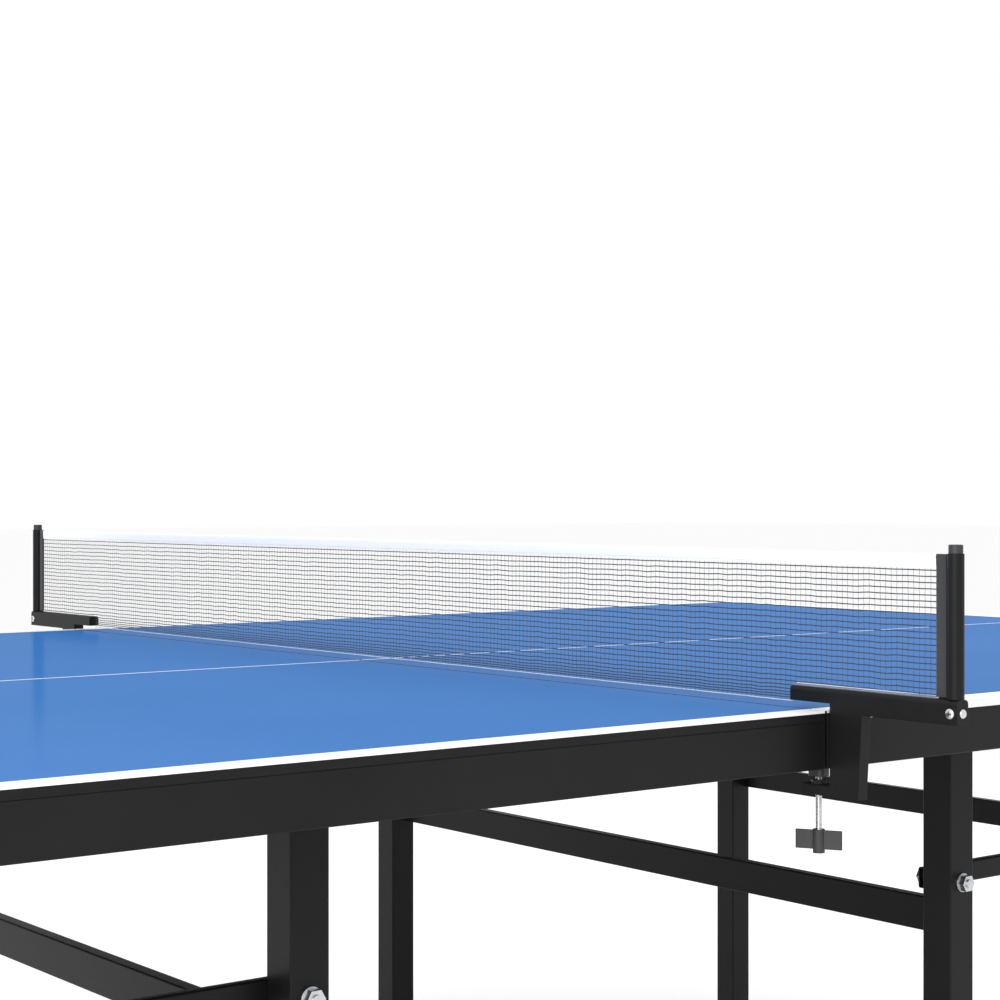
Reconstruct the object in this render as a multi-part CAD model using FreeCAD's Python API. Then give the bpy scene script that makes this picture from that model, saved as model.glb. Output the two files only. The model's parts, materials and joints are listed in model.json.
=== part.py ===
import FreeCAD, Part
import math
import os

# Folding table tennis table with a clamp-on net set.
# Frame: X along the table's length, Y across it, Z up; the origin is on the floor at the
# table's middle. Half "a" lies at X < 0 and half "b", which carries the net, at X > 0.
# "near" is the side at Y < 0 and "far" the side at Y > 0. Everything is in millimetres.

# Playing surface
TABLE_LENGTH = 2740.0
TABLE_WIDTH = 1525.0
TABLE_HEIGHT = 760.0
SEAM_HALF_GAP = 2.0
BOARD_THICKNESS = 10.0
LIP_HEIGHT = 2.2
TRIM_THICKNESS = 1.5

# Apron: pressed channels under the board
APRON_HEIGHT = 44.0
APRON_FLANGE = 30.0
APRON_WALL = 1.6
APRON_BEND = 1.2
BRACE_DEPTH = 15.0
BRACE_WIDTH = 40.0
BRACE_POSITIONS = (250.0, 700.0)

# Leg frames: 40 mm square tube
LEG_SIDE = 40.0
LEG_WALL = 1.5
LEG_CORNER = 1.8
INNER_LEG_X = 437.0
OUTER_LEG_X = 1170.0
LEG_Y = 544.5
LEG_TOP = 736.0
INNER_RAIL_BOTTOM = 458.0
INNER_RAIL_HEIGHT = 39.5
INNER_RAIL_DEPTH = 16.0
INNER_RAIL_OFFSET = 9.0
OUTER_RAIL_BOTTOM = 447.0
OUTER_RAIL_HEIGHT = 38.0
OUTER_RAIL_DEPTH = 13.0

# Folding linkage: a parallelogram of board, legs and stays
PIVOT_Z = 728.0
STAY_Z = 522.0
STAY_HEIGHT = 24.0
STAY_DEPTH = 11.7
STAY_TAIL = 13.0
STAY_GAP = 0.3
PIVOT_BOLT_R = 4.0
STAY_BOLT_R = 5.0
RUNNING_CLEARANCE = 0.05
OPEN_PIVOT_CLEARANCE = 0.4
BRACKET_PLATE = 3.0
BRACKET_HALF_WIDTH = 20.0
BRACKET_FLANGE = 25.0
BRACKET_GAP = 0.5
BRACKET_BOTTOM = 712.0

# Feet of the inner frames: a 30 mm tube along X with a castor at each end
FOOT_TUBE_SIDE = 30.0
FOOT_TUBE_BOTTOM = 72.0
FOOT_TUBE_HALF = 225.0
FOOT_TUBE_WALL = 2.0
CASTOR_SPACING_HALF = 200.0

# Castors
WHEEL_R = 30.0
WHEEL_HALF_WIDTH = 12.0
CASTOR_TRAIL = 22.0
CHEEK_INNER = 13.2
CHEEK_THICKNESS = 2.5
FORK_TOP = 66.0
STEM_R = 5.0
AXLE_R = 4.0
RACE_R = 17.0
BRAKE_PIVOT = (46.0, 56.0)
BRAKE_PIN_R = 2.5
BRAKE_HUB_R = 4.8

# Levelling feet of the outer legs
LEG_BOTTOM = 26.0
FOOT_PAD_R = 22.0
FOOT_PAD_HEIGHT = 14.0
FOOT_STEM_R = 5.0
FOOT_STEM_TOP = 66.0
FOOT_PLATE = 4.0

# Net set, clamped over the seam edge of half b
CLAMP_WIDTH = 15.0
ARM_TOP = 781.0
ARM_TIP_Y = 717.0
ARM_END_Y = 915.2
STEP_Y = 767.0
BAR_INNER_BOTTOM = 767.0
BAR_OUTER_BOTTOM = 759.0
JAW_TIP_Y = 731.5
JAW_TOP = 690.5
JAW_BOTTOM = 681.0
NUT_TOP = 694.5
PAD_THICKNESS = 8.0
PAD_LENGTH = 18.0
PAD_CORNER = 5.0
SCREW_Y = 746.5
SCREW_R = 3.25
SCREW_BOTTOM = 629.0
WEB_WIDTH = 12.0
WEB_TOP_Y = 806.5
WEB_FOOT_Y = 801.5
WEB_INTO_BAR = 1.0
NUT_ACROSS_FLATS = 13.0
BOLT_Z = 769.0
POST_Y = 907.7
POST_R = 7.5
FLANGE_END_Y = 889.5
FLANGE_THICKNESS = 1.6
PIN_R = 4.0
PIN_FOOT = 820.0
CAP_R = 6.4
POST_TOP = 908.0
CAP_TOP = 916.0
NET_BOTTOM = 764.0
TAPE_BOTTOM = 893.0
TAPE_TOP = 907.0
SLEEVE = (886.5, 898.6)
SLEEVE_THICKNESS = 3.6
SLEEVE_TOP = 907.5
KNOB_BOTTOM = 626.0
KNOB_HEIGHT = 22.0
KNOB_HUB_R = 5.6
KNOB_HALF_SPAN = 22.0
WING_BOTTOM = 629.5
WING_HEIGHT = 17.5
WING_HALF_THICKNESS = 1.9
KNOB_DIRECTION = (0.49, 0.87)

BOARD_BOTTOM = TABLE_HEIGHT - BOARD_THICKNESS
APRON_BOTTOM = BOARD_BOTTOM - APRON_HEIGHT
HALF_LENGTH = TABLE_LENGTH / 2
HALF_WIDTH = TABLE_WIDTH / 2
LEG_HALF = LEG_SIDE / 2
LEG_INNER_FACE = LEG_Y - LEG_HALF
LEG_OUTER_FACE = LEG_Y + LEG_HALF
NET_X = CLAMP_WIDTH / 2
HALVES = {"a": -1, "b": 1}
SIDES = {"near": -1, "far": 1}
UNIT = {
    "x": FreeCAD.Vector(1, 0, 0),
    "y": FreeCAD.Vector(0, 1, 0),
    "z": FreeCAD.Vector(0, 0, 1),
}


def save(name, solids):
    """Write one node's solids to its own STEP file."""
    shape = solids[0] if len(solids) == 1 else Part.makeCompound(solids)
    shape.exportStep("parts/" + name + ".step")


def box(x, y, z):
    """A box from three (one end, other end) pairs, in any order."""
    low = FreeCAD.Vector(min(x), min(y), min(z))
    return Part.makeBox(
        abs(x[1] - x[0]), abs(y[1] - y[0]), abs(z[1] - z[0]), low
    )


def scaled(pair, sign):
    """A pair of coordinates moved to the sign's side."""
    return (pair[0] * sign, pair[1] * sign)


def cylinder(centre, axis, radius, start, end):
    """A cylinder along x, y or z; start and end are coordinates along that axis."""
    base = FreeCAD.Vector(*centre)
    setattr(base, axis, min(start, end))
    return Part.makeCylinder(radius, abs(end - start), base, UNIT[axis])


def hexagon(centre, axis, across_flats, start, end):
    """A hexagonal prism along y or z, with two corners on its x axis."""
    other = "z" if axis == "y" else "y"
    radius = across_flats / math.sqrt(3)
    points = []
    for corner in range(7):
        turn = math.radians(60 * corner)
        point = FreeCAD.Vector(*centre)
        setattr(point, axis, min(start, end))
        point.x = centre[0] + radius * math.cos(turn)
        setattr(point, other, getattr(point, other) + radius * math.sin(turn))
        points.append(point)
    face = Part.Face(Part.makePolygon(points))
    return face.extrude(UNIT[axis] * abs(end - start))


def prism(points, plane, start, end):
    """A straight prism: (x, z) points extruded along Y, or (y, z) points along X."""
    corners = []
    for across, up in points + points[:1]:
        if plane == "xz":
            corners.append(FreeCAD.Vector(across, start, up))
        else:
            corners.append(FreeCAD.Vector(start, across, up))
    direction = UNIT["y"] if plane == "xz" else UNIT["x"]
    return Part.Face(Part.makePolygon(corners)).extrude(direction * (end - start))


def long_edges(shape, axis):
    """The straight edges of a shape that run along one axis."""
    found = []
    for edge in shape.Edges:
        run = edge.Vertexes[-1].Point - edge.Vertexes[0].Point
        if run.Length > 1e-6 and abs(run.normalize().dot(UNIT[axis])) > 0.999:
            found.append(edge)
    return found


def tube(x, y, z, along, wall, corner):
    """A rectangular tube with rounded corners and open ends."""
    outer = box(x, y, z)
    outer = outer.makeFillet(corner, long_edges(outer, along))
    spans = {"x": x, "y": y, "z": z}
    inner_spans = []
    for axis in "xyz":
        low, high = min(spans[axis]), max(spans[axis])
        inset = -1.0 if axis == along else wall
        inner_spans.append((low + inset, high - inset))
    inner = box(*inner_spans)
    inner = inner.makeFillet(corner - wall * 0.8, long_edges(inner, along))
    return outer.cut(inner)


def board(sign):
    """The playing board: its full-size lip, and below that a rebate for the edge trim."""
    lip = box(
        scaled((SEAM_HALF_GAP, HALF_LENGTH), sign),
        (-HALF_WIDTH, HALF_WIDTH),
        (TABLE_HEIGHT - LIP_HEIGHT, TABLE_HEIGHT),
    )
    core = box(
        scaled((SEAM_HALF_GAP + TRIM_THICKNESS, HALF_LENGTH - TRIM_THICKNESS), sign),
        (-HALF_WIDTH + TRIM_THICKNESS, HALF_WIDTH - TRIM_THICKNESS),
        (BOARD_BOTTOM, TABLE_HEIGHT - LIP_HEIGHT),
    )
    return [lip.fuse(core).removeSplitter()]


def edge_trim(sign):
    """The strip let in round the board's edge, under its lip."""
    height = (BOARD_BOTTOM, TABLE_HEIGHT - LIP_HEIGHT)
    ends = (SEAM_HALF_GAP, HALF_LENGTH)
    inner_ends = (ends[0] + TRIM_THICKNESS, ends[1] - TRIM_THICKNESS)
    strips = []
    for side in SIDES.values():
        across = scaled((HALF_WIDTH - TRIM_THICKNESS, HALF_WIDTH), side)
        strips.append(box(scaled(ends, sign), across, height))
    inner_width = HALF_WIDTH - TRIM_THICKNESS
    for outer, inner in zip(ends, inner_ends):
        strips.append(box(scaled((outer, inner), sign), (-inner_width, inner_width), height))
    return strips


def channel(x, y, open_side, along):
    """A C channel under the board, open towards open_side, with its length along x or y."""
    full = box(x, y, (APRON_BOTTOM, BOARD_BOTTOM))
    spans = {"x": sorted(x), "y": sorted(y)}
    cut = {}
    for axis in "xy":
        low, high = spans[axis]
        if axis == along:
            cut[axis] = (low + APRON_WALL, high - APRON_WALL)
        elif open_side > 0:
            cut[axis] = (low + APRON_WALL, high + 1.0)
        else:
            cut[axis] = (low - 1.0, high - APRON_WALL)
    height = (APRON_BOTTOM + APRON_WALL, BOARD_BOTTOM - APRON_WALL)
    facing = UNIT["y" if along == "x" else "x"] * open_side
    middle = full.BoundBox.Center
    bends = [edge for edge in long_edges(full, along)
             if facing.dot(edge.CenterOfMass - middle) < 0]
    return full.makeFillet(APRON_BEND, bends).cut(box(cut["x"], cut["y"], height))


def apron_rails(sign):
    """Two side rails over the half's whole length, and two end rails between them."""
    inner_width = HALF_WIDTH - APRON_FLANGE
    rails = []
    for side in SIDES.values():
        across = scaled((inner_width, HALF_WIDTH), side)
        rails.append(channel(scaled((SEAM_HALF_GAP, HALF_LENGTH), sign), across, -side, "x"))
    for start, end, facing in (
        (SEAM_HALF_GAP, SEAM_HALF_GAP + APRON_FLANGE, 1),
        (HALF_LENGTH - APRON_FLANGE, HALF_LENGTH, -1),
    ):
        run = scaled((start, end), sign)
        rails.append(channel(run, (-inner_width, inner_width), facing * sign, "y"))
    return rails


def cross_braces(sign):
    """Top-hat channels across the board's underside, between the side rails."""
    braces = []
    reach = HALF_WIDTH - APRON_FLANGE
    for position in BRACE_POSITIONS:
        left = position - BRACE_WIDTH / 2
        right = position + BRACE_WIDTH / 2
        low = BOARD_BOTTOM - BRACE_DEPTH
        lip = APRON_WALL
        inset = BRACE_WIDTH / 4
        outline = [
            (left, BOARD_BOTTOM), (left, BOARD_BOTTOM - lip),
            (left + inset - lip, BOARD_BOTTOM - lip), (left + inset - lip, low),
            (right - inset + lip, low), (right - inset + lip, BOARD_BOTTOM - lip),
            (right, BOARD_BOTTOM - lip), (right, BOARD_BOTTOM),
            (right - inset, BOARD_BOTTOM), (right - inset, low + lip),
            (left + inset, low + lip), (left + inset, BOARD_BOTTOM),
        ]
        points = [(sign * across, up) for across, up in outline]
        braces.append(prism(points, "xz", -reach, reach))
    return braces


def leg_centres():
    """Where a half's legs stand along its length."""
    return (INNER_LEG_X, OUTER_LEG_X)


def hinge_brackets(sign):
    """A pair of angle brackets at the top of each leg, holding its pivot bolt."""
    brackets = []
    for leg_x in leg_centres():
        run = scaled((leg_x - BRACKET_HALF_WIDTH, leg_x + BRACKET_HALF_WIDTH), sign)
        for side in SIDES.values():
            outer = LEG_OUTER_FACE + BRACKET_GAP
            inner = LEG_INNER_FACE - BRACKET_GAP
            for face, away in ((outer, 1), (inner, -1)):
                plate = box(
                    run,
                    scaled((face, face + away * BRACKET_PLATE), side),
                    (BRACKET_BOTTOM, BOARD_BOTTOM),
                )
                flange = box(
                    run,
                    scaled((face, face + away * BRACKET_FLANGE), side),
                    (BOARD_BOTTOM - BRACKET_PLATE, BOARD_BOTTOM),
                )
                hole = cylinder(
                    (sign * leg_x, 0, PIVOT_Z), "y", PIVOT_BOLT_R + RUNNING_CLEARANCE,
                    side * (face - away), side * (face + away * (BRACKET_PLATE + 1)),
                )
                brackets.append(plate.fuse(flange).cut(hole).removeSplitter())
    return brackets


def through_bolt(x, z, side, radius, span, across_flats, head, nut, washer):
    """A bolt along Y: head inside, washer and nut outside; span is its clamped length in |Y|."""
    centre = (x, 0, z)
    inner, outer = span
    parts = [
        cylinder(centre, "y", radius, side * (inner - head), side * (outer + washer + nut + 2)),
        hexagon(centre, "y", across_flats, side * (inner - head), side * inner),
        cylinder(centre, "y", across_flats * 0.62, side * outer, side * (outer + washer)),
        hexagon(centre, "y", across_flats, side * (outer + washer), side * (outer + washer + nut)),
    ]
    return parts[0].multiFuse(parts[1:]).removeSplitter()


def hinge_bolts(sign):
    """One pivot bolt through each leg top and its two brackets."""
    grip = (
        LEG_INNER_FACE - BRACKET_GAP - BRACKET_PLATE,
        LEG_OUTER_FACE + BRACKET_GAP + BRACKET_PLATE,
    )
    bolts = []
    for leg_x in leg_centres():
        for side in SIDES.values():
            bolts.append(
                through_bolt(sign * leg_x, PIVOT_Z, side, PIVOT_BOLT_R, grip, 13.0, 5.3, 6.5, 1.6)
            )
    return bolts


def drilled_leg(leg_x, side, bottom, stay_clearance):
    """A vertical leg tube with its pivot hole and its stay hole."""
    leg = tube(
        (leg_x - LEG_HALF, leg_x + LEG_HALF),
        scaled((LEG_INNER_FACE, LEG_OUTER_FACE), side),
        (bottom, LEG_TOP),
        "z", LEG_WALL, LEG_CORNER,
    )
    for height, radius in (
        (PIVOT_Z, PIVOT_BOLT_R + RUNNING_CLEARANCE),
        (STAY_Z, STAY_BOLT_R + stay_clearance),
    ):
        hole = cylinder(
            (leg_x, 0, height), "y", radius,
            side * (LEG_INNER_FACE - 1), side * (LEG_OUTER_FACE + 1),
        )
        leg = leg.cut(hole)
    return leg


def inner_leg_frame(sign):
    """Two legs on foot tubes, joined by a cross rail."""
    leg_x = sign * INNER_LEG_X
    foot_top = FOOT_TUBE_BOTTOM + FOOT_TUBE_SIDE
    rail_x = leg_x + sign * INNER_RAIL_OFFSET
    rail_half = INNER_RAIL_DEPTH / 2
    solids = [
        tube(
            (rail_x - rail_half, rail_x + rail_half),
            (-LEG_INNER_FACE, LEG_INNER_FACE),
            (INNER_RAIL_BOTTOM, INNER_RAIL_BOTTOM + INNER_RAIL_HEIGHT),
            "y", LEG_WALL, LEG_CORNER,
        )
    ]
    for side in SIDES.values():
        solids.append(drilled_leg(leg_x, side, foot_top, RUNNING_CLEARANCE))
        foot = tube(
            (leg_x - FOOT_TUBE_HALF, leg_x + FOOT_TUBE_HALF),
            (side * LEG_Y - FOOT_TUBE_SIDE / 2, side * LEG_Y + FOOT_TUBE_SIDE / 2),
            (FOOT_TUBE_BOTTOM, foot_top),
            "x", FOOT_TUBE_WALL, LEG_CORNER,
        )
        for end in (-1, 1):
            hole = cylinder(
                (leg_x + end * CASTOR_SPACING_HALF, side * LEG_Y, 0), "z",
                STEM_R + RUNNING_CLEARANCE,
                FOOT_TUBE_BOTTOM - 1, FOOT_TUBE_BOTTOM + FOOT_TUBE_WALL + 1,
            )
            foot = foot.cut(hole)
        solids.append(foot)
    return solids


def tube_caps(sign):
    """Plastic plugs in the four open ends of the foot tubes."""
    caps = []
    plug_half = FOOT_TUBE_SIDE / 2 - FOOT_TUBE_WALL - 0.1
    head_half = FOOT_TUBE_SIDE / 2 - 0.5
    middle_z = FOOT_TUBE_BOTTOM + FOOT_TUBE_SIDE / 2
    for side in SIDES.values():
        for end in (-1, 1):
            mouth = sign * INNER_LEG_X + end * FOOT_TUBE_HALF
            middle_y = side * LEG_Y
            head = box(
                (mouth, mouth + end * 3.0),
                (middle_y - head_half, middle_y + head_half),
                (middle_z - head_half, middle_z + head_half),
            )
            head = head.makeFillet(2.0, long_edges(head, "x"))
            plug = box(
                (mouth - end * 12.0, mouth),
                (middle_y - plug_half, middle_y + plug_half),
                (middle_z - plug_half, middle_z + plug_half),
            )
            plug = plug.makeFillet(1.2, long_edges(plug, "x"))
            caps.append(head.fuse(plug).removeSplitter())
    return caps


def outer_leg_frame(sign):
    """Two legs with drilled foot plates, joined by a cross rail on their outer faces."""
    leg_x = sign * OUTER_LEG_X
    rail_outer = OUTER_LEG_X + LEG_HALF
    solids = [
        tube(
            scaled((rail_outer - OUTER_RAIL_DEPTH, rail_outer), sign),
            (-LEG_INNER_FACE, LEG_INNER_FACE),
            (OUTER_RAIL_BOTTOM, OUTER_RAIL_BOTTOM + OUTER_RAIL_HEIGHT),
            "y", LEG_WALL, LEG_CORNER,
        )
    ]
    for side in SIDES.values():
        solids.append(drilled_leg(leg_x, side, LEG_BOTTOM, OPEN_PIVOT_CLEARANCE))
        inside = LEG_HALF - LEG_WALL
        plate = box(
            (leg_x - inside, leg_x + inside),
            (side * LEG_Y - inside, side * LEG_Y + inside),
            (LEG_BOTTOM, LEG_BOTTOM + FOOT_PLATE),
        )
        plate = plate.makeFillet(LEG_CORNER - LEG_WALL * 0.8, long_edges(plate, "z"))
        hole = cylinder(
            (leg_x, side * LEG_Y, 0), "z", FOOT_STEM_R + RUNNING_CLEARANCE,
            LEG_BOTTOM - 1, LEG_BOTTOM + FOOT_PLATE + 1,
        )
        solids.append(plate.cut(hole))
    return solids


def stays(sign):
    """The two long bars that keep the outer legs parallel to the inner legs."""
    outer_face = LEG_INNER_FACE - STAY_GAP
    run = scaled((INNER_LEG_X - STAY_TAIL, OUTER_LEG_X + STAY_TAIL), sign)
    bars = []
    for side in SIDES.values():
        bar = tube(
            run,
            scaled((outer_face - STAY_DEPTH, outer_face), side),
            (STAY_Z - STAY_HEIGHT / 2, STAY_Z + STAY_HEIGHT / 2),
            "x", LEG_WALL, 2.5,
        )
        for leg_x in leg_centres():
            hole = cylinder(
                (sign * leg_x, 0, STAY_Z), "y", STAY_BOLT_R,
                side * (outer_face - STAY_DEPTH - 1), side * (outer_face + 1),
            )
            bar = bar.cut(hole)
        bars.append(bar)
    return bars


def stay_bolts(sign):
    """Bolts through the stays and legs; they turn with the stays."""
    grip = (LEG_INNER_FACE - STAY_GAP - STAY_DEPTH, LEG_OUTER_FACE + 0.2)
    bolts = []
    for leg_x in leg_centres():
        for side in SIDES.values():
            bolts.append(
                through_bolt(sign * leg_x, STAY_Z, side, STAY_BOLT_R, grip, 17.0, 6.4, 8.0, 2.0)
            )
    return bolts


def castor_places():
    """Every castor's name with its swivel axis and the direction in which its wheel trails."""
    places = {}
    for half, sign in HALVES.items():
        for side_name, side in SIDES.items():
            for end_name, end in (("inner", -1), ("outer", 1)):
                x = sign * (INNER_LEG_X + end * CASTOR_SPACING_HALF)
                places["_".join((half, side_name, end_name))] = (x, side * LEG_Y, sign)
    return places


def castor_fork(x, y, trail):
    """A castor fork with its race, stem and axle, round a swivel axis at (x, y)."""
    outline = [(-16, FORK_TOP), (30, FORK_TOP), (52, 60), (52, 50), (31, 30), (13, 30)]
    cheek_points = [(x + trail * along, up) for along, up in outline]
    axle_x = x + trail * CASTOR_TRAIL
    outer = CHEEK_INNER + CHEEK_THICKNESS
    parts = []
    for side in (-1, 1):
        start = y + side * CHEEK_INNER
        end = y + side * outer
        parts.append(prism(cheek_points, "xz", min(start, end), max(start, end)))
        parts.append(cylinder((axle_x, 0, WHEEL_R), "y", 9.0, start, end))
        parts.append(cylinder((axle_x, 0, WHEEL_R), "y", 6.0, end, end + side * 2.5))
    parts.append(
        box((x - trail * 16, x + trail * 30), (y - outer, y + outer), (FORK_TOP - 2.5, FORK_TOP))
    )
    parts.append(cylinder((axle_x, 0, WHEEL_R), "y", AXLE_R, y - outer, y + outer))
    pin_x = x + trail * BRAKE_PIVOT[0]
    parts.append(cylinder((pin_x, 0, BRAKE_PIVOT[1]), "y", BRAKE_PIN_R, y - outer, y + outer))
    parts.append(cylinder((x, y, 0), "z", RACE_R, FORK_TOP - 1, FOOT_TUBE_BOTTOM - 0.3))
    parts.append(cylinder((x, y, 0), "z", STEM_R, FORK_TOP, FOOT_TUBE_BOTTOM + 14))
    parts.append(
        cylinder((x, y, 0), "z", 8.0, FOOT_TUBE_BOTTOM + FOOT_TUBE_WALL + 0.4, FOOT_TUBE_BOTTOM + 8)
    )
    return [parts[0].multiFuse(parts[1:]).removeSplitter()]


def castor_wheel(x, y, trail):
    """A wheel with a crowned tread, dished sides and a bore for the axle."""
    bore = AXLE_R + RUNNING_CLEARANCE
    half = WHEEL_HALF_WIDTH
    profile = [
        (bore, -half), (10.0, -half), (11.0, -half + 3), (21.0, -half + 3), (22.0, -half),
        (WHEEL_R - 3, -half), (WHEEL_R - 1, -half + 1), (WHEEL_R, -half + 4),
        (WHEEL_R, half - 4), (WHEEL_R - 1, half - 1), (WHEEL_R - 3, half),
        (22.0, half), (21.0, half - 3), (11.0, half - 3), (10.0, half), (bore, half),
    ]
    centre = FreeCAD.Vector(x + trail * CASTOR_TRAIL, y, WHEEL_R)
    points = [centre + FreeCAD.Vector(0, across, radius) for radius, across in profile]
    face = Part.Face(Part.makePolygon(points + points[:1]))
    return [face.revolve(centre, UNIT["y"], 360)]


def castor_brake(x, y, trail):
    """A brake pedal on the fork's rear pin."""
    pin_x = x + trail * BRAKE_PIVOT[0]
    reach = CHEEK_INNER - 0.7
    hub = cylinder((pin_x, 0, BRAKE_PIVOT[1]), "y", BRAKE_HUB_R, y - reach, y + reach)
    outline = [(46, 56), (53, 60.8), (76, 63), (77, 60), (56, 55), (49, 52.2)]
    points = [(x + trail * along, up) for along, up in outline]
    pedal = prism(points, "xz", y - reach, y + reach)
    hole = cylinder(
        (pin_x, 0, BRAKE_PIVOT[1]), "y", BRAKE_PIN_R + RUNNING_CLEARANCE, y - reach - 1, y + reach + 1
    )
    return [hub.fuse(pedal).removeSplitter().cut(hole)]


def levelling_foot(sign, side):
    """A foot pad on a threaded stem, under an outer leg."""
    centre = (sign * OUTER_LEG_X, side * LEG_Y, 0)
    pad = cylinder(centre, "z", FOOT_PAD_R, 0, FOOT_PAD_HEIGHT)
    pad = pad.makeFillet(2.5, [edge for edge in pad.Edges if edge.CenterOfMass.z > 1
                               and len(edge.Vertexes) == 1])
    stem = cylinder(centre, "z", FOOT_STEM_R, FOOT_PAD_HEIGHT - 1, FOOT_STEM_TOP)
    nut = cylinder(centre, "z", 9.0, FOOT_PAD_HEIGHT - 1, FOOT_PAD_HEIGHT + 4)
    return [pad.multiFuse([stem, nut]).removeSplitter()]


def clamp_bracket(side):
    """The net clamp: a bar over the table, a bracket round its edge and a threaded jaw below."""
    tip = side * ARM_TIP_Y
    bar = box((0, CLAMP_WIDTH), (tip, side * ARM_END_Y), (BAR_INNER_BOTTOM, ARM_TOP))
    heel = box((0, CLAMP_WIDTH), (side * STEP_Y, side * ARM_END_Y), (BAR_OUTER_BOTTOM, ARM_TOP))
    bar = bar.fuse(heel).removeSplitter()
    top_edges = [edge for edge in long_edges(bar, "y") if edge.CenterOfMass.z > ARM_TOP - 1]
    bar = bar.makeFillet(4.0, top_edges)
    web_top = BAR_OUTER_BOTTOM + WEB_INTO_BAR
    outline = [
        (STEP_Y, web_top), (WEB_TOP_Y, web_top), (WEB_FOOT_Y, JAW_BOTTOM), (STEP_Y, JAW_BOTTOM)
    ]
    web = prism([(side * across, up) for across, up in outline], "yz", 0, WEB_WIDTH)
    jaw = box((0, CLAMP_WIDTH), (side * JAW_TIP_Y, side * STEP_Y), (JAW_BOTTOM, JAW_TOP))
    thread = cylinder(
        (NET_X, side * SCREW_Y, 0), "z", SCREW_R + RUNNING_CLEARANCE, JAW_BOTTOM - 1, NUT_TOP + 1
    )
    nut = hexagon((NET_X, side * SCREW_Y, 0), "z", NUT_ACROSS_FLATS, JAW_TOP - 1, NUT_TOP)
    return [bar.multiFuse([web, jaw, nut]).removeSplitter().cut(thread)]


def clamp_pad(side):
    """The pressure plate under the apron, with a socket for the screw's end."""
    centre = (NET_X, side * SCREW_Y, 0)
    top = APRON_BOTTOM - 0.2
    bottom = top - PAD_THICKNESS
    across = (side * SCREW_Y - PAD_LENGTH / 2, side * SCREW_Y + PAD_LENGTH / 2)
    plate = box((0, CLAMP_WIDTH), across, (bottom, top))
    plate = plate.makeFillet(PAD_CORNER, long_edges(plate, "z"))
    socket = cylinder(centre, "z", SCREW_R + RUNNING_CLEARANCE, bottom - 1, top - 2)
    return [plate.cut(socket)]


def clamp_screw(side):
    """The clamp's threaded rod."""
    top = APRON_BOTTOM - 2.4
    return [cylinder((NET_X, side * SCREW_Y, 0), "z", SCREW_R, SCREW_BOTTOM, top)]


def wing_knob(side):
    """A two-winged knob on the screw's lower end."""
    centre = FreeCAD.Vector(NET_X, side * SCREW_Y, 0)
    base = centre + UNIT["z"] * KNOB_BOTTOM
    hub = Part.makeCylinder(KNOB_HUB_R, KNOB_HEIGHT, base)
    along = FreeCAD.Vector(KNOB_DIRECTION[0], side * KNOB_DIRECTION[1], 0).normalize()
    across = FreeCAD.Vector(-along.y, along.x, 0)
    corners = []
    for reach, offset in ((-1, -1), (1, -1), (1, 1), (-1, 1), (-1, -1)):
        point = centre + along * (reach * KNOB_HALF_SPAN)
        point = point + across * (offset * WING_HALF_THICKNESS)
        point.z = WING_BOTTOM
        corners.append(point)
    wings = Part.Face(Part.makePolygon(corners)).extrude(UNIT["z"] * WING_HEIGHT)
    wings = wings.makeFillet(1.2, long_edges(wings, "z"))
    bore = cylinder(
        (NET_X, side * SCREW_Y, 0), "z", SCREW_R + 0.02, SCREW_BOTTOM - 0.5, KNOB_BOTTOM + KNOB_HEIGHT + 1
    )
    return [hub.fuse(wings).removeSplitter().cut(bore)]


def post_flange(side, gap):
    """The flat flange on a post's inner side, wider all round by a gap."""
    half = FLANGE_THICKNESS / 2 + gap
    return box(
        (NET_X - half, NET_X + half),
        scaled((FLANGE_END_Y - gap, POST_Y - POST_R / 2), side),
        (ARM_TOP, POST_TOP - 1),
    )


def net_post(side):
    """A round post with a flat flange for the net's sleeve and a bore for its pin."""
    centre = (NET_X, side * POST_Y, 0)
    body = cylinder(centre, "z", POST_R, ARM_TOP, POST_TOP)
    bore = cylinder(centre, "z", PIN_R + RUNNING_CLEARANCE, PIN_FOOT, POST_TOP + 1)
    return [body.fuse(post_flange(side, 0)).removeSplitter().cut(bore)]


def post_pins():
    """The pins in the post tops, whose heads show as round caps."""
    pins = []
    for side in SIDES.values():
        centre = (NET_X, side * POST_Y, 0)
        head = cylinder(centre, "z", CAP_R, POST_TOP, CAP_TOP)
        top = [edge for edge in head.Edges if edge.CenterOfMass.z > CAP_TOP - 1
               and len(edge.Vertexes) == 1]
        head = head.makeFillet(1.2, top)
        pins.append(head.fuse(cylinder(centre, "z", PIN_R, PIN_FOOT, POST_TOP)).removeSplitter())
    return pins


def net_mesh():
    """The net's closed outer shape, stepped over the clamp bars, and a sleeve at each end."""
    arm = ARM_TIP_Y - 2.5
    above_arm = ARM_TOP + 1
    end = SLEEVE[0]
    outline = [
        (-end, above_arm), (-arm, above_arm), (-arm, NET_BOTTOM), (arm, NET_BOTTOM),
        (arm, above_arm), (end, above_arm), (end, TAPE_BOTTOM), (-end, TAPE_BOTTOM),
    ]
    solids = [prism(outline, "yz", NET_X - 0.6, NET_X + 0.6)]
    half = SLEEVE_THICKNESS / 2
    for side in SIDES.values():
        sleeve = box(
            (NET_X - half, NET_X + half), scaled(SLEEVE, side), (above_arm, SLEEVE_TOP)
        )
        solids.append(sleeve.cut(post_flange(side, 0.1)))
    return solids


def net_tape():
    """The tape folded over the net's top cord, between the two end sleeves."""
    end = SLEEVE[0]
    tape = box((NET_X - 1.5, NET_X + 1.5), (-end, end), (TAPE_BOTTOM, TAPE_TOP))
    return [tape.makeFillet(1.2, [edge for edge in long_edges(tape, "y")
                                  if edge.CenterOfMass.z > TAPE_TOP - 1])]


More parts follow.
